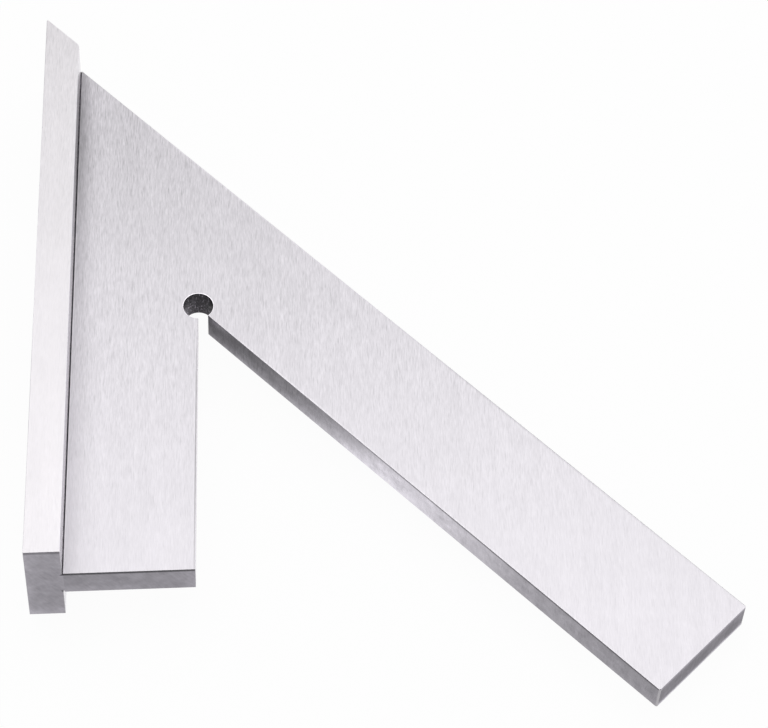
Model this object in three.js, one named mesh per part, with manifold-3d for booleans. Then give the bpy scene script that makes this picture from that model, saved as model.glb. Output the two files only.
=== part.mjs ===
import * as THREE from "three";
import { mergeVertices } from "three/addons/utils/BufferGeometryUtils.js";
import Module from "manifold-3d";

// A mitre square: a flat V-shaped steel blade let into a slotted bar, the stock.
// All lengths are millimetres and all angles are degrees.
// X runs from the stock's guide face into the blade, Y along the stock from foot to mitre tip, Z up.
// While the pieces are made, X is 0 on the guide face and Z is 0 in the middle of the blade.

// Sizes of the stock
const stockLength = 100.4; // along its outer face, from the foot to the sharp mitre tip
const stockThickness = 5.38;
const stockHeight = 18.24;
const slotDepth = 2.7; // how deep the blade's slot is milled into the guide face

// Sizes of the blade
const bladeThickness = 5.3;
const shortLegWidth = 19.59; // from the guide face to the short leg's inner edge
const longLegLength = 150; // along the outer edge, from the mitre tip to the square end
const longLegWidth = 19.46;
const mitreAngle = 45; // between the stock and the long leg
const footRake = 2.07; // how far the foot end is off square to the stock
const reliefHoleDiameter = 4.57;
const reliefHoleRise = 0.2; // how far past the corner of the inner edges the hole is centred

// The tongue that fits the slot
const shoulderGap = 0.21; // the dark groove left along the stock, on both faces of the blade
const shoulderDepth = 0.4; // the step from the blade's face down to the tongue
const slotSideClearance = 0.02;
const slotEndClearance = 0.05;

// Sizes of the dowel pins
const pinCount = 4;
const pinDiameter = 2.5;
const pinLength = 12;
const pinLeadIn = 0.35; // the chamfer on the end that goes in first
const pinFootDistance = 12; // from the foot to the first pin
const pinTipDistance = 14; // from the last pin to the blade's corner on the guide face
const pinSideClearance = 0.02;
const pinEndClearance = 0.5; // left under a pin where the drill stopped
const drillPointAngle = 118;

// Finish and fineness
const edgeChamfer = 0.2; // the broken edge all round both pieces
const overrun = 1; // how far a cutting shape runs past what it cuts
const holeSegments = 48;
const pinSegments = 32;
const steelColour = 0xd6d6da;
const pinColour = 0xc4c4c8;

const { degToRad } = THREE.MathUtils;
const cotangent = (degrees) => 1 / Math.tan(degToRad(degrees));

const wasm = await Module();
wasm.setup();

// A closed geometry as a solid that can be joined and cut
function solidFrom(geometry) {
  geometry.deleteAttribute("normal");
  geometry.deleteAttribute("uv");
  const merged = mergeVertices(geometry);
  const mesh = new wasm.Mesh({
    numProp: merged.attributes.position.itemSize,
    vertProperties: merged.attributes.position.array,
    triVerts: new Uint32Array(merged.index.array),
  });
  return new wasm.Manifold(mesh);
}

function geometryFrom(solid) {
  const { vertProperties, triVerts, numProp } = solid.getMesh();
  const geometry = new THREE.BufferGeometry();
  geometry.setAttribute("position", new THREE.BufferAttribute(vertProperties, numProp));
  geometry.setIndex(new THREE.BufferAttribute(triVerts, 1));
  geometry.computeVertexNormals();
  return geometry;
}

function cutAll(body, tools) {
  return tools.reduce((left, tool) => left.subtract(tool), body);
}

// A box between two corners, used as a cutting shape
function boxBetween(low, high) {
  const size = high.clone().sub(low);
  const middle = low.clone().add(high).divideScalar(2);
  const geometry = new THREE.BoxGeometry(size.x, size.y, size.z);
  geometry.translate(middle.x, middle.y, middle.z);
  return solidFrom(geometry);
}

// A flat outline given thickness about Z 0, with a chamfer along its upper and lower edges
function chamferedPlate(outline, thickness) {
  const geometry = new THREE.ExtrudeGeometry(outline, {
    depth: thickness - 2 * edgeChamfer,
    bevelThickness: edgeChamfer,
    bevelSize: edgeChamfer,
    bevelOffset: -edgeChamfer,
    bevelSegments: 1,
    curveSegments: holeSegments / 2,
  });
  geometry.translate(0, 0, edgeChamfer - thickness / 2);
  return solidFrom(geometry);
}

// The two points that stand for a corner whose upright edge is broken
function brokenCorner(before, corner, after) {
  return [before, after].map((other) => {
    const towards = other.clone().sub(corner).normalize();
    return corner.clone().addScaledVector(towards, edgeChamfer);
  });
}

// Lines of the plan view
const footAt = (x) => x * Math.tan(degToRad(footRake));
const alongLongLeg = new THREE.Vector2(
  Math.sin(degToRad(mitreAngle)),
  -Math.cos(degToRad(mitreAngle)),
);
const intoTheV = new THREE.Vector2(alongLongLeg.y, -alongLongLeg.x);
const mitreTip = new THREE.Vector2(-stockThickness, footAt(-stockThickness) + stockLength);
const outerEdgeAt = (x) => mitreTip.y - (x - mitreTip.x) * cotangent(mitreAngle);

// Corners of the long leg's square end, and the corner where the two inner edges would meet
const outerEnd = mitreTip.clone().addScaledVector(alongLongLeg, longLegLength);
const innerEnd = outerEnd.clone().addScaledVector(intoTheV, longLegWidth);
const innerCorner = new THREE.Vector2(
  shortLegWidth,
  innerEnd.y + (innerEnd.x - shortLegWidth) * cotangent(mitreAngle),
);

const tongueReach = slotDepth - slotEndClearance;
const tongueThickness = bladeThickness - 2 * shoulderDepth;

// Where the pins stand along the stock
const pinSpan = outerEdgeAt(0) - pinTipDistance - pinFootDistance;
const pinPlaces = Array.from({ length: pinCount }, (_, i) => {
  return pinFootDistance + (pinSpan * i) / (pinCount - 1);
});

// Plan outline of the blade, tongue included, counter-clockwise from the tongue's foot
function bladeOutline() {
  const tongueFoot = new THREE.Vector2(-tongueReach, footAt(-tongueReach));
  const tongueTip = new THREE.Vector2(-tongueReach, outerEdgeAt(-tongueReach));
  const shortLegFoot = new THREE.Vector2(shortLegWidth, footAt(shortLegWidth));

  // The relief hole is centred on the line of the short leg's inner edge, so that edge meets it
  // at its lowest point; where the long leg's inner edge meets it follows from a quadratic.
  const radius = reliefHoleDiameter / 2;
  const centre = innerCorner.clone();
  centre.y += reliefHoleRise;
  const halfStep = alongLongLeg.y * reliefHoleRise;
  const reach = halfStep + Math.sqrt(halfStep ** 2 - reliefHoleRise ** 2 + radius ** 2);
  const longEdgeStart = innerCorner.clone().addScaledVector(alongLongLeg, reach);
  const endAngle = Math.atan2(longEdgeStart.y - centre.y, longEdgeStart.x - centre.x);

  const outline = new THREE.Shape();
  outline.moveTo(tongueFoot.x, tongueFoot.y);
  for (const point of brokenCorner(tongueFoot, shortLegFoot, innerCorner)) {
    outline.lineTo(point.x, point.y);
  }
  outline.absarc(centre.x, centre.y, radius, -Math.PI / 2, endAngle, true);
  for (const point of brokenCorner(innerCorner, innerEnd, outerEnd)) {
    outline.lineTo(point.x, point.y);
  }
  for (const point of brokenCorner(innerEnd, outerEnd, mitreTip)) {
    outline.lineTo(point.x, point.y);
  }
  outline.lineTo(tongueTip.x, tongueTip.y);
  outline.closePath();
  return outline;
}

// Plan outline of the stock, counter-clockwise from the foot of its outer face; its tip stays sharp
function stockOutline() {
  const outerFoot = new THREE.Vector2(-stockThickness, footAt(-stockThickness));
  const innerFoot = new THREE.Vector2(0, footAt(0));
  const innerTip = new THREE.Vector2(0, outerEdgeAt(0));
  return new THREE.Shape([
    ...brokenCorner(mitreTip, outerFoot, innerFoot),
    ...brokenCorner(outerFoot, innerFoot, innerTip),
    innerTip,
    mitreTip,
  ]);
}

// The shape that the drill leaves for one pin, from outside the stock to the blind end in the blade
function drilledHole(place) {
  const radius = pinDiameter / 2 + pinSideClearance;
  const depth = pinLength + pinEndClearance;
  const profile = [
    new THREE.Vector2(0, -overrun),
    new THREE.Vector2(radius, -overrun),
    new THREE.Vector2(radius, depth),
    new THREE.Vector2(0, depth + radius * cotangent(drillPointAngle / 2)),
  ];
  const geometry = new THREE.LatheGeometry(profile, pinSegments);
  geometry.rotateZ(-Math.PI / 2);
  geometry.translate(-stockThickness, place, 0);
  return solidFrom(geometry);
}

// The space above or below the tongue, milled away up to the shoulder
function shoulderCut(side) {
  const near = (side * tongueThickness) / 2;
  const far = side * (bladeThickness / 2 + overrun);
  return boxBetween(
    new THREE.Vector3(-tongueReach - overrun, footAt(-tongueReach) - overrun, Math.min(near, far)),
    new THREE.Vector3(shoulderGap, outerEdgeAt(-tongueReach) + overrun, Math.max(near, far)),
  );
}

function bladeGeometry() {
  const plate = chamferedPlate(bladeOutline(), bladeThickness);
  const cuts = [shoulderCut(-1), shoulderCut(1), ...pinPlaces.map(drilledHole)];
  return geometryFrom(cutAll(plate, cuts));
}

// The slot milled along the whole guide face. Its lips are chamfered, so that the guide face ends
// level with the blade's faces.
function slotCut() {
  const halfSlot = tongueThickness / 2 + slotSideClearance;
  const halfMouth = bladeThickness / 2;
  const lip = halfMouth - halfSlot;
  const profile = new THREE.Shape([
    new THREE.Vector2(-slotDepth, -halfSlot),
    new THREE.Vector2(-lip, -halfSlot),
    new THREE.Vector2(0, -halfMouth),
    new THREE.Vector2(overrun, -halfMouth),
    new THREE.Vector2(overrun, halfMouth),
    new THREE.Vector2(0, halfMouth),
    new THREE.Vector2(-lip, halfSlot),
    new THREE.Vector2(-slotDepth, halfSlot),
  ]);
  const start = footAt(-stockThickness) - overrun;
  const end = mitreTip.y + overrun;
  const geometry = new THREE.ExtrudeGeometry(profile, { depth: end - start, bevelEnabled: false });
  geometry.rotateX(Math.PI / 2);
  geometry.translate(0, end, 0);
  return solidFrom(geometry);
}

function stockGeometry() {
  const bar = chamferedPlate(stockOutline(), stockHeight);
  return geometryFrom(cutAll(bar, [slotCut(), ...pinPlaces.map(drilledHole)]));
}

// A plain dowel: its outer end is ground flush, the other end has a lead-in
function pinGeometry() {
  const radius = pinDiameter / 2;
  const profile = [
    new THREE.Vector2(0, 0),
    new THREE.Vector2(radius, 0),
    new THREE.Vector2(radius, pinLength - pinLeadIn),
    new THREE.Vector2(radius - pinLeadIn, pinLength),
    new THREE.Vector2(0, pinLength),
  ];
  const geometry = new THREE.LatheGeometry(profile, pinSegments);
  geometry.rotateZ(-Math.PI / 2);
  return geometry;
}

function addPiece(group, name, geometry, colour, roughness) {
  const material = new THREE.MeshStandardMaterial({
    color: colour,
    roughness,
    metalness: 1,
    flatShading: true,
  });
  const mesh = new THREE.Mesh(geometry, material);
  mesh.name = name;
  group.add(mesh);
  return mesh;
}

const assembly = new THREE.Group();
addPiece(assembly, "blade", bladeGeometry(), steelColour, 0.35);
addPiece(assembly, "stock", stockGeometry(), steelColour, 0.3);
pinPlaces.forEach((place, i) => {
  const pin = addPiece(assembly, `dowel_pin_${i + 1}`, pinGeometry(), pinColour, 0.25);
  pin.position.set(-stockThickness, place, 0);
});

// The origin goes under the middle of the whole square, at the height that the stock rests on
const extent = new THREE.Box3().setFromObject(assembly);
const middle = extent.getCenter(new THREE.Vector3());
assembly.position.set(-middle.x, -middle.y, -extent.min.z);

const mitreSquare = new THREE.Group();
mitreSquare.name = "mitre_square";
mitreSquare.add(assembly);

export default mitreSquare;
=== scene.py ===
# %% [markdown]
# A mitre square, lying on a studio table. The real tool is flat steel: a V-shaped blade whose short leg
# is let into a slotted bar, the stock, and pinned there. Every face was finished on a surface grinder,
# so what makes it look real is not its shape, which is plain, but the marks that the wheel left, the
# fine broken edges, and how long straight faces mirror the table and the soft light above it.

from math import cos, pi, radians, sin, tan

import bmesh
import bpy
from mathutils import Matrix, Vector


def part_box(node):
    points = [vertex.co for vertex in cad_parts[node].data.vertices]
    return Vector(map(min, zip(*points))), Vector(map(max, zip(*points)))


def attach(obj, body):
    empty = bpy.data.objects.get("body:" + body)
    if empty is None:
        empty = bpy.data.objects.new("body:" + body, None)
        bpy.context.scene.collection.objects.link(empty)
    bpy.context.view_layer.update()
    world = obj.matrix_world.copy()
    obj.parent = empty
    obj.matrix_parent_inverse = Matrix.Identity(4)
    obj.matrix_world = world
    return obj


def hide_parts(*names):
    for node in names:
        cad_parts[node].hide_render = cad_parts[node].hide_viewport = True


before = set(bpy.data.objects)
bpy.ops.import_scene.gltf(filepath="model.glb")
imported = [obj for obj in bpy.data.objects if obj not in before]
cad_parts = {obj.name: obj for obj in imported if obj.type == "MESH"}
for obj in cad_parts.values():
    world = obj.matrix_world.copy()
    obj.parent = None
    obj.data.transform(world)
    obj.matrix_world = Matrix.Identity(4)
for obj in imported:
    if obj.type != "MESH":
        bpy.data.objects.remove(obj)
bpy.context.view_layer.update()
MM = 0.001
print("CAD nodes", sorted(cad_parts))

# %% [markdown]
# The camera comes first, because everything is judged through it. The square was photographed from
# above and in front with a long lens, so its edges hardly converge. The place, the turn and the lens
# were worked out from the square's own corners, whose real distances are known.

# %% Camera
CAMERA_PLACE = Vector((-19.8, -270.27, 413.27)) * MM
CAMERA_TURN = [radians(angle) for angle in (33.6456, -2.0128, -1.3671)]
CAMERA_LENS = 146.768
SENSOR_WIDTH = 36
NEAREST_SEEN = 10 * MM

bpy.ops.object.camera_add(location=CAMERA_PLACE, rotation=CAMERA_TURN)
camera = bpy.context.object
camera.name = "table_camera"
camera.data.sensor_width = SENSOR_WIDTH
camera.data.lens = CAMERA_LENS
camera.data.clip_start = NEAREST_SEEN
bpy.context.scene.camera = camera
print("camera", round(camera.location.length / MM), "mm from the square's origin")

# %% [markdown]
# The sizes below are the tool's own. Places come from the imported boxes, and only what the boxes can't say
# has a name here. The stock's tip lies on the long leg's outer edge, so the plan hangs from that point.

# %% Sizes of the blade and the stock
LONG_LEG_LENGTH = 150 * MM
LONG_LEG_WIDTH = 19.46 * MM
SHORT_LEG_WIDTH = 19.59 * MM
BLADE_THICKNESS = 5.3 * MM
MITRE_ANGLE = radians(45)
FOOT_RAKE = radians(2.07)

stock_low, stock_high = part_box("stock")
guide_x = stock_high.x
middle_z = (stock_low.z + stock_high.z) / 2
blade_top = middle_z + BLADE_THICKNESS / 2
blade_bottom = middle_z - BLADE_THICKNESS / 2

mitre_tip = Vector((stock_low.x, stock_high.y, 0))
along_long_leg = Vector((sin(MITRE_ANGLE), -cos(MITRE_ANGLE), 0))
into_the_v = Vector((along_long_leg.y, -along_long_leg.x, 0))
outer_end = mitre_tip + along_long_leg * LONG_LEG_LENGTH
inner_end = outer_end + into_the_v * LONG_LEG_WIDTH
inner_edge_x = guide_x + SHORT_LEG_WIDTH
inner_corner = Vector((inner_edge_x, inner_end.y + (inner_end.x - inner_edge_x) / tan(MITRE_ANGLE), 0))
inner_length = (inner_end - inner_corner).length
foot_point = Vector((stock_low.x, stock_low.y, 0))
below_foot = Vector((sin(FOOT_RAKE), -cos(FOOT_RAKE), 0))
print("long leg's inner edge is", round(inner_length / MM, 2), "mm long")

# %% [markdown]
# A few short helpers stand for what a hand does again and again, such as picking faces by where they
# are. An operator works on everything that is selected, so these start from an empty selection.


# %% Helpers for taking up a piece
def take(piece):
    """Makes this piece the only one selected."""
    bpy.ops.object.select_all(action="DESELECT")
    piece.select_set(True)
    bpy.context.view_layer.objects.active = piece


def named(name):
    """Names the primitive that was just added, and fixes its place and size into its mesh."""
    piece = bpy.context.object
    piece.name = name
    piece.data.name = name
    take(piece)
    bpy.ops.object.transform_apply(location=True, rotation=True, scale=True)
    return piece


def block(name, low, high):
    """A cube brought to the size of the box between two corners."""
    bpy.ops.object.select_all(action="DESELECT")
    bpy.ops.mesh.primitive_cube_add(size=1, location=(low + high) / 2)
    bpy.context.object.scale = high - low
    return named(name)


def edit(piece, select_mode="FACE"):
    """Opens a piece in edit mode with all of it selected."""
    take(piece)
    bpy.ops.object.mode_set(mode="EDIT")
    bpy.ops.mesh.select_mode(type=select_mode)
    bpy.ops.mesh.select_all(action="SELECT")


def leave():
    """Goes back to object mode."""
    bpy.ops.object.mode_set(mode="OBJECT")


def pick(piece, kind, test):
    """Selects the faces, edges or vertices of a piece in edit mode that pass a test."""
    mesh = bmesh.from_edit_mesh(piece.data)
    bpy.ops.mesh.select_all(action="DESELECT")
    for part in getattr(mesh, kind):
        if test(part):
            part.select_set(True)
    mesh.select_flush_mode()
    bmesh.update_edit_mesh(piece.data)


# %% [markdown]
# Nearly every face of this tool was cut, and two helpers cut as the workshop does. A saw cut is a
# bisect with a plane. An end mill or a drill is a boolean with a solid of the cutter's own shape, since a
# hole that is only inset and extruded can't run into a slot. A cutter overruns the work, because two
# faces in one plane can leave slivers.

# %% Helpers for cutting
OVERRUN = 1 * MM


def saw_off(piece, point, outwards, fill=True):
    """Cuts a piece with a plane and throws away the side that outwards points to."""
    edit(piece)
    bpy.ops.mesh.bisect(plane_co=point, plane_no=outwards, use_fill=fill, clear_outer=True)
    leave()


def carve(piece, cutter):
    """Takes the cutter's solid out of the piece, as an end mill or a drill does."""
    take(piece)
    cut = piece.modifiers.new("cut", "BOOLEAN")
    cut.operation = "DIFFERENCE"
    cut.solver = "EXACT"
    cut.object = cutter
    bpy.ops.object.modifier_apply(modifier=cut.name)
    bpy.data.objects.remove(cutter)


# %% [markdown]
# No edge of a real tool is perfectly sharp: a stone was drawn along each one, and its narrow facets catch
# the light. A bevel modifier that is limited by angle finds the sharp edges by itself, where picking
# them would take a test for each. Weighted normals then keep the large faces flat in the shading.

# %% Helpers for breaking edges and truing up
EDGE_BREAK = 0.06 * MM
STONE_PASSES = 3
SHARP_ANGLE = radians(40)
SMOOTH_ANGLE = radians(35)
DOUBLES_APART = 0.0005 * MM


def break_edges(piece):
    """Takes down every sharp edge, as a stone drawn along it at three angles does."""
    take(piece)
    stone = piece.modifiers.new("broken edges", "BEVEL")
    stone.width = EDGE_BREAK
    stone.segments = STONE_PASSES
    stone.limit_method = "ANGLE"
    stone.angle_limit = SHARP_ANGLE
    bpy.ops.object.modifier_apply(modifier=stone.name)


def true_up(piece):
    """Merges doubles, turns every face outwards and keeps the large faces flat in the shading."""
    edit(piece)
    bpy.ops.mesh.remove_doubles(threshold=DOUBLES_APART)
    bpy.ops.mesh.normals_make_consistent(inside=False)
    leave()
    bpy.ops.object.shade_smooth_by_angle(angle=SMOOTH_ANGLE)
    flat = piece.modifiers.new("flat faces", "WEIGHTED_NORMAL")
    flat.keep_sharp = True
    bpy.ops.object.modifier_apply(modifier=flat.name)
    size = [round(length / MM, 2) for length in piece.dimensions]
    print(piece.name, len(piece.data.polygons), "faces,", size, "mm")


# %% [markdown]
# The pins. Four hardened dowels hold the blade in the stock. They are driven from the stock's outer
# face and ground flush with it, so that of each one only a disc shows, with a hairline round it. One is
# turned up from a cylinder, with a lead-in chamfer on the end that goes in first, and then copied.

# %% Make the dowel pins
PIN_LEAD_IN = 0.35 * MM
PIN_EDGE_BREAK = 0.05 * MM
PIN_EDGE_PASSES = 2
PIN_SIDES = 96
SQUARE_ON = 0.995

pin_nodes = sorted(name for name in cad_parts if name.startswith("dowel_pin"))
pin_boxes = [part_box(name) for name in pin_nodes]
pin_length = pin_boxes[0][1].x - pin_boxes[0][0].x
pin_radius = (pin_boxes[0][1].z - pin_boxes[0][0].z) / 2
pin_middles = [(low + high) / 2 for low, high in pin_boxes]


def rod(name, middle, length, radius):
    """A cylinder that lies along x, as the pins and their drill do."""
    bpy.ops.object.select_all(action="DESELECT")
    bpy.ops.mesh.primitive_cylinder_add(
        vertices=PIN_SIDES, radius=radius, depth=length, rotation=(0, pi / 2, 0), location=middle
    )
    return named(name)


def turned_pin():
    """One pin at the origin: a lead-in at its inner end, a broken edge at its outer one."""
    pin = rod("turned_pin", Vector((0, 0, 0)), pin_length, pin_radius)
    for side, width in ((1, PIN_LEAD_IN), (-1, PIN_EDGE_BREAK)):
        end_x = side * pin_length / 2
        edit(pin, "EDGE")
        pick(pin, "edges", lambda edge: all(abs(v.co.x - end_x) < PIN_EDGE_BREAK / 2 for v in edge.verts))
        bpy.ops.mesh.bevel(offset=width, segments=PIN_EDGE_PASSES, affect="EDGES")
        bpy.ops.mesh.select_mode(type="FACE")
        pick(pin, "faces", lambda face: face.normal.x * side > SQUARE_ON)
        bpy.ops.mesh.inset(thickness=pin_radius / 2)
        leave()
    true_up(pin)
    return pin


first_pin = turned_pin()
pins = []
for node, middle in zip(pin_nodes, pin_middles):
    take(first_pin)
    bpy.ops.object.duplicate()
    bpy.ops.transform.translate(value=middle)
    pins.append(named(node.replace("dowel_pin", "flush_dowel")))
bpy.data.objects.remove(first_pin)
print(len(pins), "pins of", round(2 * pin_radius / MM, 2), "mm")

# %% [markdown]
# The holes for the pins are drilled through the stock's wall and on into the blade in one go, so one
# drill shape cuts both pieces. A drill leaves a cone of 118 degrees at the bottom of a blind hole.

# %% Drill shapes
PIN_SIDE_CLEARANCE = 0.02 * MM
PIN_END_CLEARANCE = 0.5 * MM
DRILL_POINT_ANGLE = radians(118)


def drill(middle):
    """A drill that stands where a pin goes: a cylinder whose far end is drawn out to a point."""
    radius = pin_radius + PIN_SIDE_CLEARANCE
    start_x = middle.x - pin_length / 2 - OVERRUN
    end_x = middle.x + pin_length / 2 + PIN_END_CLEARANCE
    tool = rod("drill", ((start_x + end_x) / 2, middle.y, middle.z), end_x - start_x, radius)
    edit(tool)
    pick(tool, "faces", lambda face: abs(face.calc_center_median().x - end_x) < PIN_SIDE_CLEARANCE)
    point = radius / tan(DRILL_POINT_ANGLE / 2)
    bpy.ops.mesh.extrude_region_move(TRANSFORM_OT_translate={"value": (point, 0, 0)})
    bpy.ops.mesh.merge(type="CENTER")
    leave()
    return tool


# %% [markdown]
# The blade starts as a flat sheet, the way its outline would be marked out on steel plate. A rectangle
# stands for the short leg; planes cut its foot and its mitred end. Its upper right edge is then drawn
# out along 45 degrees to make the long leg, whose end is cut square and gets slightly rounded corners.
# Only then does the sheet get its thickness, so both legs stay one piece with clean straight sides and
# no seam where they meet.

# %% Mark out the blade
CORNER_ROUND = 0.25 * MM
CORNER_PASSES = 4
NEARLY_STRAIGHT = radians(1)


def on_upper_right(edge):
    """The part of the sheet's right side that lies above the corner of the V."""
    on_right_side = all(abs(v.co.x - inner_edge_x) < EDGE_BREAK for v in edge.verts)
    return on_right_side and max(v.co.y for v in edge.verts) > inner_corner.y + OVERRUN


def marked_out_blade():
    """The blade's outline as one flat sheet, at the height of its underside."""
    sheet_low = Vector((stock_low.x, foot_point.y - OVERRUN, blade_bottom))
    sheet_high = Vector((inner_edge_x, mitre_tip.y + OVERRUN, blade_bottom))
    bpy.ops.object.select_all(action="DESELECT")
    bpy.ops.mesh.primitive_plane_add(size=1, location=(sheet_low + sheet_high) / 2)
    bpy.context.object.scale = (sheet_high.x - sheet_low.x, sheet_high.y - sheet_low.y, 1)
    sheet = named("ground_blade")
    saw_off(sheet, foot_point, below_foot, fill=False)
    saw_off(sheet, mitre_tip, -into_the_v, fill=False)

    edit(sheet, "EDGE")
    bpy.ops.mesh.bisect(plane_co=inner_corner, plane_no=(0, 1, 0))
    pick(sheet, "edges", on_upper_right)
    reach = along_long_leg * (LONG_LEG_LENGTH + LONG_LEG_WIDTH)
    bpy.ops.mesh.extrude_edges_move(TRANSFORM_OT_translate={"value": reach})
    leave()
    saw_off(sheet, outer_end, along_long_leg, fill=False)
    edit(sheet, "VERT")
    bpy.ops.mesh.dissolve_limited(angle_limit=NEARLY_STRAIGHT)
    pick(sheet, "verts", lambda vert: (vert.co - outer_end).dot(along_long_leg) > -EDGE_BREAK)
    bpy.ops.mesh.bevel(offset=CORNER_ROUND, segments=CORNER_PASSES, affect="VERTICES")
    leave()
    return sheet


blade = marked_out_blade()
print("marked out with", len(blade.data.vertices), "corners")

# %% [markdown]
# The plate gets its thickness. A Solidify modifier could do it, but a plain extrude leaves nothing to
# apply. Its edges are broken before anything is milled, because the groove's edges stay as sharp as the
# cutter leaves them, and the relief hole gets a rim of its own.

# %% Give the blade its thickness and its broken edges
edit(blade)
bpy.ops.mesh.extrude_region_move(TRANSFORM_OT_translate={"value": (0, 0, BLADE_THICKNESS)})
bpy.ops.mesh.select_all(action="SELECT")
bpy.ops.mesh.normals_make_consistent(inside=False)
leave()
break_edges(blade)
print("blade is", round(blade.dimensions.z / MM, 2), "mm thick")

# %% [markdown]
# The tongue is what enters the stock's slot. It is milled a little thinner than the blade, and the
# shoulder stops just short of the guide face. That leaves the narrow dark groove along the stock, where
# dirt can hide without lifting the work off the face.

# %% Mill the tongue
SHOULDER_GAP = 0.18 * MM
SHOULDER_DEPTH = 0.4 * MM
SLOT_DEPTH = 2.7 * MM
PRESSED_GAP = 0.005 * MM

tongue_end_x = guide_x - SLOT_DEPTH + PRESSED_GAP
saw_off(blade, Vector((tongue_end_x, 0, 0)), Vector((-1, 0, 0)))
tongue_half = BLADE_THICKNESS / 2 - SHOULDER_DEPTH
for side in (1, -1):
    near = middle_z + side * tongue_half
    far = middle_z + side * (BLADE_THICKNESS / 2 + OVERRUN)
    low = Vector((stock_low.x - OVERRUN, stock_low.y - OVERRUN, min(near, far)))
    high = Vector((guide_x + SHOULDER_GAP, stock_high.y + OVERRUN, max(near, far)))
    carve(blade, block("end_mill", low, high))
edit(blade)
bpy.ops.mesh.bisect(plane_co=(guide_x + SHOULDER_GAP, 0, 0), plane_no=(1, 0, 0))
leave()
print("tongue is", round(2 * tongue_half / MM, 2), "mm thick")

# %% [markdown]
# The relief hole sits where the two inner edges meet, so that a sharp corner of the work has room and
# the grinding wheel can run out. Both rims are rounded over, wider than they are deep, and show as a
# bright ring. The cutter is a cylinder whose two ends are drawn out and flared, so one cut makes the
# hole and both rims.

# %% Drill the relief hole
RELIEF_HOLE_RADIUS = 2.34 * MM
RELIEF_HOLE_RISE = 0.24 * MM
HOLE_SIDES = 128
HOLE_RIM_DEPTH = 0.022 * MM
HOLE_RIM_WIDTH = 0.08 * MM

hole_centre = Vector((inner_corner.x, inner_corner.y + RELIEF_HOLE_RISE, middle_z))


def relief_drill():
    """A cylinder that flares beyond the wall of the hole, so that it cuts the two rims as well."""
    wall = BLADE_THICKNESS - 2 * HOLE_RIM_DEPTH
    flare = (RELIEF_HOLE_RADIUS + 2 * HOLE_RIM_WIDTH) / RELIEF_HOLE_RADIUS
    bpy.ops.object.select_all(action="DESELECT")
    bpy.ops.mesh.primitive_cylinder_add(
        vertices=HOLE_SIDES, radius=RELIEF_HOLE_RADIUS, depth=wall, location=hole_centre
    )
    tool = named("relief_drill")
    edit(tool)
    for side in (1, -1):
        end_z = middle_z + side * wall / 2
        pick(tool, "faces", lambda face: abs(face.calc_center_median().z - end_z) < HOLE_RIM_DEPTH / 2)
        lift = side * 2 * HOLE_RIM_DEPTH
        bpy.ops.mesh.extrude_region_move(TRANSFORM_OT_translate={"value": (0, 0, lift)})
        bpy.ops.transform.resize(value=(flare, flare, 1), center_override=hole_centre)
    leave()
    return tool


carve(blade, relief_drill())
for middle in pin_middles:
    carve(blade, drill(middle))
true_up(blade)

# %% [markdown]
# The stock is a plain bar of flat steel, stood on edge. It is sawn at the foot and at the mitre, its two
# upright corners at the tip are rounded a little and its edges are broken. It could be extruded from an
# outline like the blade, but a cube with two saw cuts is the same bar in fewer steps.

# %% Make the stock
TIP_ROUND = 0.4 * MM


def upright_at_tip(edge):
    first, second = (vert.co for vert in edge.verts)
    return abs(first.z - second.z) > BLADE_THICKNESS and first.y > 0


stock = block(
    "ground_stock",
    Vector((stock_low.x, stock_low.y - OVERRUN, stock_low.z)),
    Vector((stock_high.x, stock_high.y + OVERRUN, stock_high.z)),
)
saw_off(stock, foot_point, below_foot)
saw_off(stock, mitre_tip, -into_the_v)
edit(stock, "EDGE")
pick(stock, "edges", upright_at_tip)
bpy.ops.mesh.bevel(offset=TIP_ROUND, segments=CORNER_PASSES, affect="EDGES")
leave()
break_edges(stock)
print("stock is", round(stock.dimensions.z / MM, 2), "mm high")

# %% [markdown]
# A slot is milled along the whole guide face for the blade's tongue, and its mouth is chamfered, so the
# face that bears on the work ends level with the blade. The cutter is a block whose outer face is
# extruded twice, first flared, which cuts the mouth, and then straight on past the work.


# %% Mill the slot and drill the stock
def slot_mill():
    """A block that opens out to the mouth of the slot."""
    half_slot = tongue_half + PRESSED_GAP
    half_mouth = BLADE_THICKNESS / 2
    lip = half_mouth - half_slot
    tool = block(
        "slot_mill",
        Vector((guide_x - SLOT_DEPTH, stock_low.y - OVERRUN, middle_z - half_slot)),
        Vector((guide_x - lip, stock_high.y + OVERRUN, middle_z + half_slot)),
    )
    edit(tool)
    mouth = Vector((guide_x, (stock_low.y + stock_high.y) / 2, middle_z))
    pick(tool, "faces", lambda face: face.normal.x > SQUARE_ON)
    bpy.ops.mesh.extrude_region_move(TRANSFORM_OT_translate={"value": (lip, 0, 0)})
    bpy.ops.transform.resize(value=(1, 1, half_mouth / half_slot), center_override=mouth)
    bpy.ops.mesh.extrude_region_move(TRANSFORM_OT_translate={"value": (OVERRUN, 0, 0)})
    leave()
    return tool


carve(stock, slot_mill())
for middle in pin_middles:
    carve(stock, drill(middle))
true_up(stock)

# %% [markdown]
# Brushed and ground steel shine in one direction: the wheel leaves long parallel grooves, and a groove
# scatters light across itself and hardly along itself. The renderer needs to know which way the light
# spreads at each point, and it takes that from a UV map. Cube projection lays a map over each flat face
# whose U axis is level, and each finish then says how far its spread is turned from that axis.

# %% Lay a map for the direction of the shine
MAP_TILE = 10 * MM

for piece in (blade, stock, *pins):
    edit(piece)
    bpy.ops.uv.cube_project(cube_size=MAP_TILE)
    leave()
    piece.data.uv_layers.active.name = "grain"
print("maps laid on", 2 + len(pins), "pieces")

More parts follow.
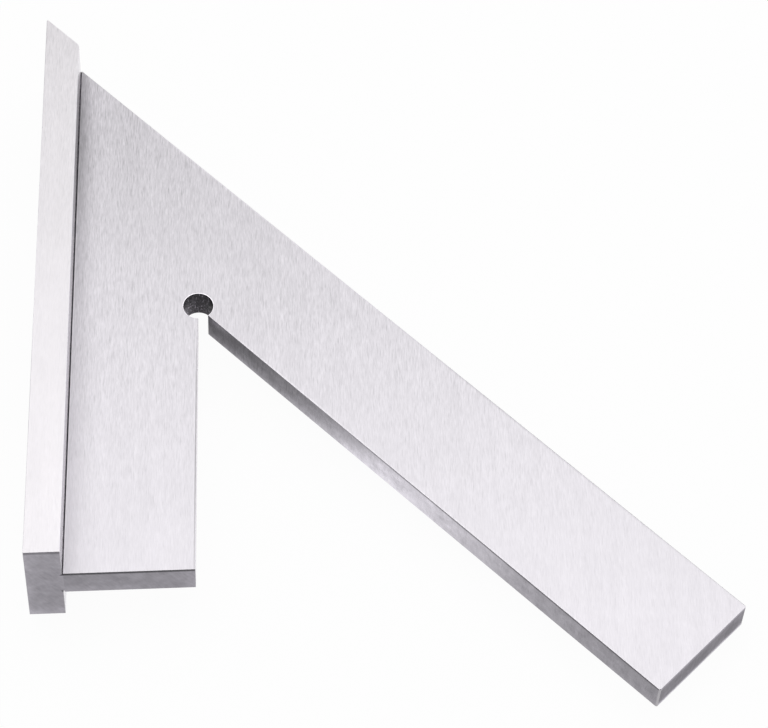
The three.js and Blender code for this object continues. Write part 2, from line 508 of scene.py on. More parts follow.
# %% [markdown]
# The finish itself is built in layers, each one a noise that is squeezed across the grooves and drawn
# out along them. A picture of brushed metal would be quicker, but it repeats and has no real size. The
# coordinates are the object's own, so the pattern stays on the steel whichever side it is seen from.
# Each layer reads another place in the noise, so no two line up.

# %% Nodes for the layers
LAYER_SHIFT = 40 * MM
NOISE_ROUGHNESS = 0.55


def add(tree, kind, **settings):
    """Adds a node, and sets its inputs and its other settings by name."""
    node = tree.nodes.new(kind)
    for key, value in settings.items():
        if key in node.inputs:
            node.inputs[key].default_value = value
        else:
            setattr(node, key, value)
    return node


def link(output, target):
    """Joins one node's output to another node's input."""
    target.id_data.links.new(output, target)


def stretched_noise(tree, along, width, length, detail=2.0, layer=0):
    """Noise drawn out along a direction, with features of a real width and length."""
    place = add(tree, "ShaderNodeTexCoord")
    turned = add(tree, "ShaderNodeMapping", vector_type="TEXTURE", Scale=(width, length, width))
    turned.inputs["Rotation"].default_value = Vector((0, 1, 0)).rotation_difference(along).to_euler()
    turned.inputs["Location"].default_value = [layer * LAYER_SHIFT] * 3
    noise = add(tree, "ShaderNodeTexNoise", Scale=1.0, Detail=detail, Roughness=NOISE_ROUGHNESS)
    link(place.outputs["Object"], turned.inputs["Vector"])
    link(turned.outputs["Vector"], noise.inputs["Vector"])
    return noise.outputs["Fac"]


def spread(tree, value, low, high, start=0.25, stop=0.75):
    """Brings the part of a noise's range between start and stop to values between low and high."""
    ends = {"From Min": start, "From Max": stop, "To Min": low, "To Max": high}
    reach = add(tree, "ShaderNodeMapRange", **ends)
    link(value, reach.inputs["Value"])
    return reach.outputs["Result"]


def times(tree, first, second):
    """One value multiplied by another."""
    product = add(tree, "ShaderNodeMath", operation="MULTIPLY")
    link(first, product.inputs[0])
    link(second, product.inputs[1])
    return product.outputs["Value"]


# %% [markdown]
# A face of the real tool isn't one grey from end to end: the other leg, the stock's shadow and the rim of
# the light change it on the way. A ramp on the object's coordinates paints that light and shade into the
# steel's colour. It starts at a point, runs along a direction for a length, and holds pairs of a share of
# that length and how bright the steel is there. A second ramp can weigh the first, which keeps a mark to
# one end of a face.

# %% Nodes that paint light and shade along a face
# The painted shade line under an edge fades out over this length.
SHADE_LINE_FADE = 0.25 * MM


def along_piece(tree, start, direction, length, shades):
    """A shade that changes along a direction, from pairs of the share of its length and the shade."""
    place = add(tree, "ShaderNodeTexCoord")
    from_start = add(tree, "ShaderNodeVectorMath", operation="SUBTRACT")
    from_start.inputs[1].default_value = start
    onto_way = add(tree, "ShaderNodeVectorMath", operation="DOT_PRODUCT")
    onto_way.inputs[1].default_value = direction / length
    ramp = add(tree, "ShaderNodeValToRGB")
    ramp.color_ramp.interpolation = "CARDINAL"
    # A smooth ramp stops at 1, so it holds shares of its brightest shade
    brightest = add(tree, "ShaderNodeValue")
    brightest.outputs[0].default_value = max(shade for _, shade in shades)
    stops = ramp.color_ramp.elements
    stops.remove(stops[1])
    for index, (share, shade) in enumerate(shades):
        stop = stops.new(share) if index else stops[0]
        part = shade / brightest.outputs[0].default_value
        stop.color = (part, part, part, 1)
    link(place.outputs["Object"], from_start.inputs[0])
    link(from_start.outputs["Vector"], onto_way.inputs[0])
    link(onto_way.outputs["Value"], ramp.inputs["Fac"])
    return times(tree, ramp.outputs["Color"], brightest.outputs[0])


def weighted(tree, ramp, weight):
    """A ramp that counts fully where the weight ramp is 1 and not at all where it is 0."""
    shade = add(tree, "ShaderNodeMapRange", **{"To Min": 1.0})
    link(along_piece(tree, *weight), shade.inputs["Value"])
    link(along_piece(tree, *ramp), shade.inputs["To Max"])
    return shade.outputs["Result"]


def under_edge(tree, edge_z, depth, ramp):
    """A painted dark line from the upper edge of a side face down to a depth, with a soft lower side. It is
    painted shade under the edge, and its shade changes along the edge."""
    place = add(tree, "ShaderNodeTexCoord")
    split = add(tree, "ShaderNodeSeparateXYZ")
    line = add(tree, "ShaderNodeMapRange", **{"To Min": 1.0})
    line.inputs["From Min"].default_value = edge_z - depth - SHADE_LINE_FADE
    line.inputs["From Max"].default_value = edge_z - depth
    link(place.outputs["Object"], split.inputs["Vector"])
    link(split.outputs["Z"], line.inputs["Value"])
    link(along_piece(tree, *ramp), line.inputs["To Max"])
    return line.outputs["Result"]


# %% [markdown]
# Up close, ground steel is fine streaks with a longer, deeper stroke here and there. From further off it
# shows wide bands from the wheel's steps, and soft clouds where hands have been. Each helper below makes
# one factor of the shade. A grain is a streak's width and length, clouds are a size and a strength.

# %% Marks of the wheel and of hands
FINE_GRAIN = (0.15 * MM, 1.3 * MM)
SCUFFED_GRAIN = (0.3 * MM, 1.3 * MM)
COARSE_GRAIN = (0.3 * MM, 2.4 * MM)
STROKE_START = 0.58
STROKE_STOP = 0.72
BAND_WIDTH = 1.6 * MM
BAND_LENGTH = 30 * MM
SOFT_CLOUDS = (14 * MM, 0.02)
SMUDGES = (1.5 * MM, 0.13)


def streaks_and_strokes(tree, along, grain, streak, stroke, fade):
    """Streaks both lighter and darker than the steel, and strokes of one kind that lie apart."""
    width, length = grain
    streaks = stretched_noise(tree, along, width, length, detail=3.0)
    strokes = stretched_noise(tree, along, width, length * 2, detail=1.0, layer=5)
    marks = add(tree, "ShaderNodeMath", operation="ADD")
    link(spread(tree, streaks, -streak, streak), marks.inputs[0])
    link(spread(tree, strokes, 0, stroke, STROKE_START, STROKE_STOP), marks.inputs[1])
    marked = add(tree, "ShaderNodeMath", operation="MULTIPLY_ADD")
    link(marks.outputs["Value"], marked.inputs[0])
    marked.inputs[1].default_value = 1
    marked.inputs[2].default_value = 1
    if fade:
        link(along_piece(tree, *fade), marked.inputs[1])
    return marked.outputs["Value"]


def bands_and_clouds(tree, along, band, clouds):
    """Wide bands from the wheel's steps, and clouds where hands have been."""
    size, haze = clouds
    bands = stretched_noise(tree, along, BAND_WIDTH, BAND_LENGTH, layer=1)
    hazy = stretched_noise(tree, along, size, size, layer=2)
    return times(tree, spread(tree, bands, 1 - band, 1 + band), spread(tree, hazy, 1 - haze, 1 + haze))


# %% [markdown]
# Bare metal has only its shine, so the Principled shader is fully metallic and the layers go into its
# base colour, the share of the light that the steel gives back. Darker steel is a little more violet.
# The same grain also varies the roughness and stands up as tiny bumps. The tangent from the grain map
# gives the spread of the light its direction, which a plain rough metal would lose.

# %% A ground steel finish
MICRON = MM / 1000
PALE_TINT = (1.0, 0.973, 1.002)
BRIGHT_TINT = (1.0, 0.97, 1.02)
EDGE_TINT = (1.0, 0.962, 1.042)
DULL_TINT = (1.0, 0.955, 1.055)
DARK_TINT = (1.0, 0.93, 1.06)


def ground_steel(
    name, *, shade, along, roughness, one_way=0.0, turn=0.0, grain=FINE_GRAIN, streak=0.06,
    stroke=None, fade=None, band=0.02, clouds=SOFT_CLOUDS, wear=0.15, depth=0.6,
    tint=BRIGHT_TINT, grazing=1.0, ramps=(), corners=(), shade_line=None,
):
    """Steel with grooves along one direction. one_way is how strongly the light spreads one way and
    turn how far that way is turned from level, in whole turns. depth is that of a groove in microns,
    and grazing is how bright the steel stays when it is seen almost edge on."""
    material = bpy.data.materials.new(name)
    material.use_nodes = True
    tree = material.node_tree
    shader = tree.nodes["Principled BSDF"]
    shader.inputs["Metallic"].default_value = 1.0
    shader.inputs["Anisotropic"].default_value = one_way
    shader.inputs["Anisotropic Rotation"].default_value = turn
    shader.inputs["Specular Tint"].default_value = (grazing, grazing, grazing, 1)

    marks = streaks_and_strokes(tree, along, grain, streak, -streak if stroke is None else stroke, fade)
    grey = times(tree, marks, bands_and_clouds(tree, along, band, clouds))
    # The ramps, the weighted ramps and the line under an edge paint light and shade into the base colour.
    for ramp in ramps:
        grey = times(tree, grey, along_piece(tree, *ramp))
    for corner in corners:
        grey = times(tree, grey, weighted(tree, *corner))
    # The line under an upper edge is painted shade.
    if shade_line:
        grey = times(tree, grey, under_edge(tree, *shade_line))
    colour = add(tree, "ShaderNodeVectorMath", operation="SCALE")
    colour.inputs[0].default_value = [shade * share for share in tint]
    link(grey, colour.inputs["Scale"])
    link(colour.outputs["Vector"], shader.inputs["Base Color"])

    width, length = grain
    worn = stretched_noise(tree, along, width, length, layer=3)
    worn_roughness = spread(tree, worn, roughness * (1 - wear), roughness * (1 + wear))
    link(worn_roughness, shader.inputs["Roughness"])
    grooves = stretched_noise(tree, along, width / 2, length, layer=4)
    bump = add(tree, "ShaderNodeBump", Distance=depth * MICRON, Strength=1.0)
    link(grooves, bump.inputs["Height"])
    link(bump.outputs["Normal"], shader.inputs["Normal"])
    tangent = add(tree, "ShaderNodeTangent", direction_type="UV_MAP", uv_map="grain")
    link(tangent.outputs["Tangent"], shader.inputs["Tangent"])
    print("finish", name, "of", len(tree.nodes), "nodes")
    return material


# %% [markdown]
# The stock's broad faces are ground along its length. Its top is the palest face of the tool, and the
# marks on it show most at the tip, where the steel mirrors the rim of the light. One set of values for
# broad faces serves here and on the blade, so that all of them come from the same wheel.

# %% Finishes of the stock's broad faces
ALONG_STOCK = Vector((0, 1, 0))
STOCK_GRAIN_SHARES = ((0.0, 1.0), (0.5, 0.4), (1.0, 0.3))

broad_grinding = {"along": ALONG_STOCK, "one_way": 0.74, "wear": 0.05, "depth": 0.2}
down_stock_length = (mitre_tip, -ALONG_STOCK, stock_high.y - stock_low.y)
stock_face = ground_steel(
    "stock_face", shade=0.9, roughness=0.53, streak=0.09, tint=PALE_TINT,
    fade=(*down_stock_length, STOCK_GRAIN_SHARES), **broad_grinding,
)
stock_side = ground_steel(
    "stock_side", shade=0.78, roughness=0.4, turn=0.25, streak=0.09, **broad_grinding
)

# %% [markdown]
# The grain of the blade's broad faces is bolder than the stock's. Near the stock they are painted darker, a
# painted reflection of the stock that stands over them, and near the tip painted lighter a few millimetres
# out. Finer painted light lies along the edges: a painted dark line and a painted glint along the long
# leg's edges, a painted bright line beside the groove, and a thin painted dark line beside the short leg's
# inner edge. They could be modelled, but a ramp from the edge gives a tenth of a millimetre more surely.

# %% Ways in from the blade's edges
ACROSS_STOCK = Vector((1, 0, 0))
BESIDE_GROOVE = 10 * MM
BESIDE_SHOULDER = 1.5 * MM
BESIDE_EDGE = 0.5 * MM

from_groove = (Vector((guide_x, 0, 0)), ACROSS_STOCK, BESIDE_GROOVE)
from_shoulder = (Vector((guide_x + SHOULDER_GAP, 0, 0)), ACROSS_STOCK, BESIDE_SHOULDER)
from_mitre = (mitre_tip, into_the_v, BESIDE_EDGE)
from_inner_edge = (inner_corner, -into_the_v, BESIDE_EDGE)
from_short_edge = (inner_corner, -ACROSS_STOCK, BESIDE_EDGE)
along_mitre = (mitre_tip, along_long_leg, LONG_LEG_LENGTH)
along_inner_edge = (inner_corner, along_long_leg, inner_length)
print("shades run", round(BESIDE_GROOVE / MM), "mm in from the stock")

# %% Shades of the blade's faces, across each way and along it
BLADE_GRAIN_SHARES = (
    (0.0, 1.0), (0.2, 0.93), (0.4, 0.74), (0.55, 0.72), (0.7, 0.57), (0.85, 0.42), (1.0, 0.29),
)
# Painted shade: the blade darker beside the stock, as its painted reflection.
GROOVE_SHADES = (
    (0.0, 0.8), (0.055, 0.83), (0.13, 0.89), (0.22, 0.945), (0.37, 0.99), (0.5, 1.0), (1.0, 1.0),
)
# Painted reflection near the tip: darker beside the stock, lighter a few millimetres out.
TIP_SHADES = (
    (0.0, 0.77), (0.055, 0.845), (0.1, 0.94), (0.17, 1.05), (0.22, 1.095),
    (0.29, 1.095), (0.47, 1.05), (0.62, 1.03), (0.8, 1.01), (1.0, 1.0),
)
TIP_WEIGHTS = ((0.0, 1.0), (0.35, 1.0), (0.55, 0.3), (0.7, 0.0))
# A painted dark line along the long leg's outer edge.
MITRE_LINE_ACROSS = ((0.0, 0.88), (0.4, 0.88), (0.6, 0.95), (0.8, 1.0), (1.0, 1.0))
MITRE_LINE_WEIGHTS = (
    (0.0, 0.4), (0.1, 0.1), (0.2, 0.0), (0.5, 0.0), (0.65, 0.9), (0.8, 0.9), (1.0, 0.2),
)
# A painted glint beside the long leg's two upper edges.
GLINT_ACROSS = ((0.0, 1.0), (0.1, 1.0), (0.2, 1.1), (0.45, 1.07), (0.6, 1.0), (1.0, 1.0))
MITRE_GLINT_WEIGHTS = (
    (0.0, 0.0), (0.12, 0.0), (0.2, 1.0), (0.32, 1.0), (0.45, 0.2), (0.6, 0.0), (1.0, 0.0),
)
INNER_GLINT_WEIGHTS = (
    (0.0, 0.0), (0.08, 0.3), (0.13, 1.0), (0.3, 1.0), (0.4, 0.5), (0.8, 0.3), (1.0, 0.1),
)
# A painted bright line beside the groove.
SHOULDER_ACROSS = (
    (0.0, 1.5), (0.1, 1.45), (0.17, 1.24), (0.35, 1.16), (0.55, 1.12), (0.8, 1.05), (1.0, 1.0),
)
SHOULDER_WEIGHTS = (
    (0.0, 0.3), (0.19, 0.35), (0.26, 0.65), (0.35, 1.0), (0.45, 0.78),
    (0.55, 0.5), (0.65, 0.25), (0.85, 0.25), (1.0, 0.2),
)
# A painted bright hairline at the short leg's inner edge, with a painted dark line beside it.
SHORT_EDGE_ACROSS = (
    (0.0, 1.0), (0.04, 1.05), (0.12, 0.85), (0.22, 0.6), (0.38, 0.6),
    (0.5, 0.75), (0.62, 0.93), (0.72, 1.02), (1.0, 1.0),
)
SHORT_EDGE_WEIGHTS = (
    (0.0, 0.0), (0.55, 0.0), (0.59, 0.2), (0.64, 0.75), (0.71, 1.0),
    (0.8, 1.0), (0.87, 0.92), (0.94, 0.7), (1.0, 0.5),
)

# %% Finish of the blade's faces
blade_face = ground_steel(
    "blade_face", shade=0.68, roughness=0.42, streak=0.19,
    fade=(*down_stock_length, BLADE_GRAIN_SHARES),
    ramps=[(*from_groove, GROOVE_SHADES)],
    corners=[
        ((*from_groove, TIP_SHADES), (*down_stock_length, TIP_WEIGHTS)),
        ((*from_mitre, MITRE_LINE_ACROSS), (*along_mitre, MITRE_LINE_WEIGHTS)),
        ((*from_mitre, GLINT_ACROSS), (*along_mitre, MITRE_GLINT_WEIGHTS)),
        ((*from_inner_edge, GLINT_ACROSS), (*along_inner_edge, INNER_GLINT_WEIGHTS)),
        ((*from_shoulder, SHOULDER_ACROSS), (*down_stock_length, SHOULDER_WEIGHTS)),
        ((*from_short_edge, SHORT_EDGE_ACROSS), (*down_stock_length, SHORT_EDGE_WEIGHTS)),
    ],
    **broad_grinding,
)

# %% [markdown]
# The guide face is the side of the stock that bears on the work. The camera sees it only as a narrow strip
# above the blade, painted darkest a quarter of the way down from the tip, a painted reflection of the
# blade's grey tip. The long leg's outer edge and the stock's mitred end are ground along the leg and mirror
# like the guide face does.

# %% Finishes of the guide face and the long edge
# Painted reflection along the guide face.
GUIDE_SHADES = (
    (0.0, 1.0), (0.08, 1.0), (0.12, 0.65), (0.16, 0.52), (0.2, 0.48), (0.28, 0.48),
    (0.33, 0.62), (0.4, 0.76), (0.5, 0.91), (0.6, 1.0), (0.85, 1.0), (1.0, 0.92),
)

guide_face = ground_steel(
    "guide_face", shade=0.86, along=ALONG_STOCK, roughness=0.25, one_way=0.3, turn=0.25,
    ramps=[(*down_stock_length, GUIDE_SHADES)],
)
long_edge = ground_steel(
    "long_edge", shade=0.7, along=along_long_leg, roughness=0.2, one_way=0.5, turn=0.25, streak=0.03
)

# %% [markdown]
# The inner edge of the long leg is ground across, so its marks run up and down. Its ramps paint the
# reflection of a shaded table into it: dark by the relief hole, where the short leg shades that table,
# brightest before the middle, grey again at the far end, and lighter towards its lower edge. The border of
# the painted bright part slants, and so does the way of its ramp. Beside the hole a small patch is lighter,
# and a painted dark line follows the upper edge.

# %% Finish of the long leg's inner edge
UP_AND_DOWN = Vector((0, 0, 1))
INNER_EDGE_SLANT = 1.4
INNER_SHADE_LINE_DEPTH = 0.3 * MM
# Painted reflection of the table along the inner edge, with its painted shade by the hole.
INNER_EDGE_SHADES = (
    (0.0, 0.222), (0.06, 0.236), (0.15, 0.345), (0.22, 0.42), (0.3, 0.66),
    (0.35, 0.85), (0.4, 1.16), (0.5, 1.155), (0.7, 0.685), (1.0, 0.5),
)
# Painted reflection down the inner edge, lighter towards its lower edge.
INNER_EDGE_DOWN = (
    (0.0, 0.85), (0.15, 0.88), (0.3, 0.92), (0.5, 0.94), (0.75, 1.0), (0.9, 1.05), (1.0, 1.08),
)
INNER_EDGE_GRAIN_SHARES = ((0.0, 2.8), (0.15, 2.4), (0.3, 1.3), (0.45, 0.8), (1.0, 1.0))
INNER_SHADE_LINE = ((0.0, 1.0), (0.3, 0.97), (0.35, 0.75), (0.45, 0.45), (0.75, 0.38), (1.0, 0.43))
# Near the hole the painted reflection grows lighter still towards the lower edge.
NEAR_HOLE_DOWN = (
    (0.0, 1.08), (0.15, 0.99), (0.3, 0.97), (0.45, 0.97),
    (0.6, 1.05), (0.75, 1.165), (0.9, 1.33), (1.0, 1.45),
)
NEAR_HOLE_WEIGHTS = ((0.0, 1.0), (0.12, 1.0), (0.2, 0.5), (0.27, 0.2), (0.35, 0.0))
# A lighter patch in the upper part of the face, just beside the hole.
NEAR_HOLE_PATCH_DOWN = ((0.0, 1.4), (0.12, 1.8), (0.25, 1.4), (0.4, 1.0), (1.0, 1.0))
NEAR_HOLE_PATCH_WEIGHTS = ((0.0, 0.4), (0.03, 1.0), (0.05, 1.0), (0.07, 0.3), (0.09, 0.0), (1.0, 0.0))

inner_slant = along_long_leg - UP_AND_DOWN * INNER_EDGE_SLANT
slanting_way = (Vector((*inner_corner.xy, middle_z)), inner_slant, inner_length)
down_blade = (Vector((0, 0, blade_top)), -UP_AND_DOWN, BLADE_THICKNESS)
inner_edge = ground_steel(
    "inner_edge", shade=0.74, along=UP_AND_DOWN, roughness=0.2, one_way=0.5, turn=0.25,
    grain=SCUFFED_GRAIN, streak=0.07, band=0.06, clouds=SMUDGES, tint=EDGE_TINT, grazing=0.5,
    fade=(*along_inner_edge, INNER_EDGE_GRAIN_SHARES),
    ramps=[(*slanting_way, INNER_EDGE_SHADES), (*down_blade, INNER_EDGE_DOWN)],
    corners=[
        ((*down_blade, NEAR_HOLE_DOWN), (*along_inner_edge, NEAR_HOLE_WEIGHTS)),
        ((*down_blade, NEAR_HOLE_PATCH_DOWN), (*along_inner_edge, NEAR_HOLE_PATCH_WEIGHTS)),
    ],
    shade_line=(blade_top, INNER_SHADE_LINE_DEPTH, (*along_inner_edge, INNER_SHADE_LINE)),
)

# %% [markdown]
# The foot is one plane across the stock and the blade, ground when the two were already together. Its marks
# run askew, from the upper left to the lower right. The ends of the tool face the camera and away from the
# light, so their steel is painted dark as shade. They are smudged and a little blue, ramps paint them
# lighter and darker up and across as painted reflection, and a painted dark line runs along the top.

# %% Finishes of the feet
ACROSS_FOOT = Vector((0.55, 0, -0.83))
STOCK_SHADE_LINE_DEPTH = 0.45 * MM
BLADE_SHADE_LINE_DEPTH = 0.32 * MM
# Painted reflection across and down the feet, lighter towards their lower edges.
STOCK_FOOT_DOWN = (
    (0.0, 1.08), (0.15, 1.03), (0.3, 1.02), (0.75, 0.97), (0.9, 1.02), (0.95, 1.18), (1.0, 1.22),
)
STOCK_FOOT_ACROSS = ((0.0, 1.18), (0.12, 1.1), (0.3, 1.02), (0.75, 0.97), (1.0, 1.02))
STOCK_FOOT_SHADE_LINE = ((0.0, 0.6), (1.0, 0.55))
BLADE_FOOT_DOWN = ((0.0, 1.05), (0.15, 0.99), (0.3, 0.98), (0.5, 1.0), (0.75, 0.97), (1.0, 1.0))
BLADE_FOOT_ACROSS = ((0.0, 0.94), (0.5, 0.99), (0.85, 1.0), (0.93, 1.1), (1.0, 1.2))
BLADE_FOOT_SHADE_LINE = ((0.0, 0.25), (0.5, 0.28), (1.0, 0.28))
FOOT_CORNER_DOWN = ((0.0, 1.0), (0.5, 0.98), (0.62, 1.0), (0.75, 1.15), (1.0, 1.26))
FOOT_CORNER_WEIGHTS = ((0.0, 1.0), (0.3, 1.0), (0.5, 0.5), (0.7, 0.0))

down_stock = (Vector((0, 0, stock_high.z)), -UP_AND_DOWN, stock_high.z - stock_low.z)
across_stock = (foot_point, ACROSS_STOCK, stock_high.x - stock_low.x)
across_short_leg = (Vector((guide_x, 0, 0)), ACROSS_STOCK, SHORT_LEG_WIDTH)
dull_end = {"roughness": 0.42, "one_way": 0.4, "turn": 0.1, "clouds": SMUDGES, "tint": DULL_TINT}
# The low shades of the ends are painted shade.
stock_foot = ground_steel(
    "stock_foot", shade=0.33, along=ACROSS_FOOT, grain=SCUFFED_GRAIN, streak=0.09,
    ramps=[(*down_stock, STOCK_FOOT_DOWN), (*across_stock, STOCK_FOOT_ACROSS)],
    shade_line=(stock_high.z, STOCK_SHADE_LINE_DEPTH, (*across_stock, STOCK_FOOT_SHADE_LINE)),
    **dull_end,
)
blade_foot = ground_steel(
    "blade_foot", shade=0.31, along=ACROSS_FOOT, grain=SCUFFED_GRAIN, streak=0.08,
    ramps=[(*down_blade, BLADE_FOOT_DOWN), (*across_short_leg, BLADE_FOOT_ACROSS)],
    corners=[((*down_blade, FOOT_CORNER_DOWN), (*across_short_leg, FOOT_CORNER_WEIGHTS))],
    shade_line=(blade_top, BLADE_SHADE_LINE_DEPTH, (*across_short_leg, BLADE_FOOT_SHADE_LINE)),
    **dull_end,
)

# %% [markdown]
# The square end of the long leg is a dull end too, painted dark as shade, with coarser marks that run up
# and down. Its upper and lower edges are painted lighter, a painted reflection of the soft box and of the
# table.

# %% Finish of the square end
# Painted reflection down and across the square end.
SQUARE_END_DOWN = (
    (0.0, 1.5), (0.06, 1.38), (0.15, 1.05), (0.3, 0.98), (0.45, 0.91),
    (0.6, 0.97), (0.75, 1.0), (0.85, 1.25), (0.93, 2.2), (1.0, 2.4),
)
SQUARE_END_ACROSS = (
    (0.0, 1.05), (0.2, 1.03), (0.3, 1.0), (0.5, 0.97), (0.7, 1.07), (0.85, 0.98), (0.95, 1.12), (1.0, 1.2),
)

across_end = (inner_end, -into_the_v, LONG_LEG_WIDTH)
square_end = ground_steel(
    "square_end", shade=0.39, along=UP_AND_DOWN, grain=COARSE_GRAIN, streak=0.09, grazing=0.5,
    ramps=[(*down_blade, SQUARE_END_DOWN), (*across_end, SQUARE_END_ACROSS)],
    **dull_end,
)

# %% [markdown]
# The groove and the wall of the relief hole are where no wheel comes. They keep the rough marks of the mill
# and the drill, and both are painted much darker than the rest, as painted shade in the groove and in the
# hole. Ramps paint light and shade along the groove and across and down the hole, whose left side is
# lighter. In the hole, torn specks of steel catch the light, which is why its strokes are bright and short.

# %% Finishes of the groove and the hole
DIRT = (0.3 * MM, 0.6 * MM)
SPECKS = (0.3 * MM, 0.36 * MM)
# Painted light and shade along the groove, lighter towards both ends.
GROOVE_PAINTED_SHADES = (
    (0.0, 1.5), (0.18, 1.5), (0.25, 1.05), (0.33, 0.87), (0.45, 0.95),
    (0.65, 1.03), (0.83, 0.88), (0.9, 1.0), (0.95, 1.7), (1.0, 1.7),
)
# Painted light in the hole: lighter on its left side and further down there.
HOLE_SHADES = ((0.0, 1.9), (0.15, 1.6), (0.25, 1.1), (0.45, 0.95), (0.8, 0.95), (0.93, 0.6), (1.0, 0.5))
HOLE_DOWN = ((0.0, 1.0), (0.15, 1.1), (0.35, 1.5), (1.0, 1.6))
HOLE_WEIGHTS = ((0.0, 1.0), (0.25, 1.0), (0.45, 0.2), (0.6, 0.0))

# The groove's low shade is painted shade.
milled_groove = ground_steel(
    "milled_groove", shade=0.15, along=ALONG_STOCK, roughness=0.6, grain=DIRT, streak=0.5, tint=DARK_TINT,
    ramps=[(*down_stock_length, GROOVE_PAINTED_SHADES)],
)
across_hole = (hole_centre - ACROSS_STOCK * RELIEF_HOLE_RADIUS, ACROSS_STOCK, 2 * RELIEF_HOLE_RADIUS)
# The hole wall's low shade is painted shade.
drilled_wall = ground_steel(
    "drilled_wall", shade=0.054, along=UP_AND_DOWN, roughness=0.5, one_way=0.3, turn=0.25,
    grain=SPECKS, streak=0.8, stroke=3.8, tint=DARK_TINT,
    ramps=[(*across_hole, HOLE_SHADES)],
    corners=[((*down_blade, HOLE_DOWN), (*across_hole, HOLE_WEIGHTS))],
)

# %% [markdown]
# The broken edges are the brightest steel of all: a stone polishes what it takes down, and their colour is
# raised further as a painted highlight. They show as hairlines, and along the two long upper edges at the
# outside a ramp paints them lighter and darker on the way. The upright corners are painted darker, a
# painted reflection of the table's far side. A pin's end is ground with the stock.

# %% Finishes of the broken edges and the pins
# Painted highlight and shade along the outer upper edges.
MITRE_BREAK_SHADES = (
    (0.0, 0.5), (0.1, 0.7), (0.2, 1.0), (0.35, 1.0), (0.5, 0.9), (0.7, 0.25), (1.0, 0.35),
)
STOCK_BREAK_SHADES = ((0.0, 0.5), (0.1, 0.6), (0.25, 0.8), (0.5, 0.9), (0.7, 0.65), (1.0, 0.8))

# Polished steel, raised further as a painted highlight.
stoned_with_highlight = {"shade": 0.95, "roughness": 0.3}
bright_edge = ground_steel("bright_edge", along=ALONG_STOCK, streak=0.03, **stoned_with_highlight)
mitre_break = ground_steel(
    "mitre_break", along=along_long_leg, streak=0.15,
    ramps=[(*along_mitre, MITRE_BREAK_SHADES)], **stoned_with_highlight,
)
stock_break = ground_steel(
    "stock_break", along=ALONG_STOCK, streak=0.15,
    ramps=[(*down_stock_length, STOCK_BREAK_SHADES)], **stoned_with_highlight,
)
# The upright corners' low shade is painted reflection.
upright_edge = ground_steel("upright_edge", shade=0.43, along=UP_AND_DOWN, roughness=0.35, streak=0.05)
pin_end = ground_steel("pin_end", shade=0.62, along=ALONG_STOCK, roughness=0.35, one_way=0.6, turn=0.25)

# %% [markdown]
# One mesh now has to carry many finishes. They could be painted on by hand, face by face, but a rule
# for each finish is safer: it says which way its faces look and where they lie, and it still holds when
# a size changes.

# %% Rules that tell the faces apart
MOSTLY = 0.95
UP_TO_HALFWAY = 0.7
HARDLY = 0.1


def looks_along(direction):
    """A rule for the faces that look along a direction or straight against it."""
    return lambda polygon: abs(polygon.normal.dot(direction)) > SQUARE_ON


at_the_foot = looks_along(below_foot)


def on_outer_side(polygon):
    """The stock's broad outer side, where the pins show."""
    return polygon.normal.x < -SQUARE_ON


def in_relief_hole(polygon):
    """The upright wall of the relief hole."""
    away = polygon.center - hole_centre
    return abs(polygon.normal.z) < HARDLY and away.xy.length < RELIEF_HOLE_RADIUS + EDGE_BREAK


def on_hole_rim(polygon):
    """The slanting rims of the relief hole, above and below."""
    away = polygon.center - hole_centre
    slanted = HARDLY < abs(polygon.normal.z) < SQUARE_ON
    return slanted and away.xy.length < RELIEF_HOLE_RADIUS + HOLE_RIM_WIDTH


def on_upright_corner(polygon):
    """The narrow facets of a rounded or broken edge that runs straight up."""
    return abs(polygon.normal.z) < HARDLY


def on_tongue_end(polygon):
    """The tongue's end at the foot, which was ground together with the stock."""
    return at_the_foot(polygon) and polygon.center.x < guide_x + SHOULDER_GAP


def in_slot(polygon):
    """The walls, floor and chamfered mouth of the slot, and the pin holes behind it."""
    from_middle = abs(polygon.center.z - middle_z)
    behind_face = stock_low.x + EDGE_BREAK < polygon.center.x < guide_x - PRESSED_GAP
    return behind_face and from_middle < BLADE_THICKNESS / 2 and abs(polygon.normal.y) < UP_TO_HALFWAY


def in_groove(polygon):
    """The tongue's faces and the shoulders' walls, all but the tongue's two ends."""
    inside = polygon.center.x < guide_x + SHOULDER_GAP + PRESSED_GAP
    return inside and not at_the_foot(polygon) and not looks_along(into_the_v)(polygon)


def in_the_v(polygon):
    """The long leg's inner edge, and not its outer one."""
    return polygon.normal.dot(into_the_v) > SQUARE_ON


def on_upper_break(outwards):
    """A rule for the broken upper edge along the one side that looks outwards."""
    return lambda polygon: (
        HARDLY < polygon.normal.z < SQUARE_ON
        and polygon.normal.xy.normalized().dot(outwards.xy) > MOSTLY
    )


# %% [markdown]
# The rules are tried from the top down, and the first one that a face passes gives it its finish, so the
# particular ones stand above the general ones. What passes none is a broken edge, and bright.


# %% Give each face its finish
def finish(piece, otherwise, rules):
    """Gives each face the finish of the first rule that it passes."""
    piece.data.materials.clear()
    for material in (otherwise, *(material for material, _ in rules)):
        piece.data.materials.append(material)
    for polygon in piece.data.polygons:
        passed = (slot for slot, (_, test) in enumerate(rules, start=1) if test(polygon))
        polygon.material_index = next(passed, 0)
    print(piece.name, "has", len({material.name for material in piece.data.materials}), "finishes")


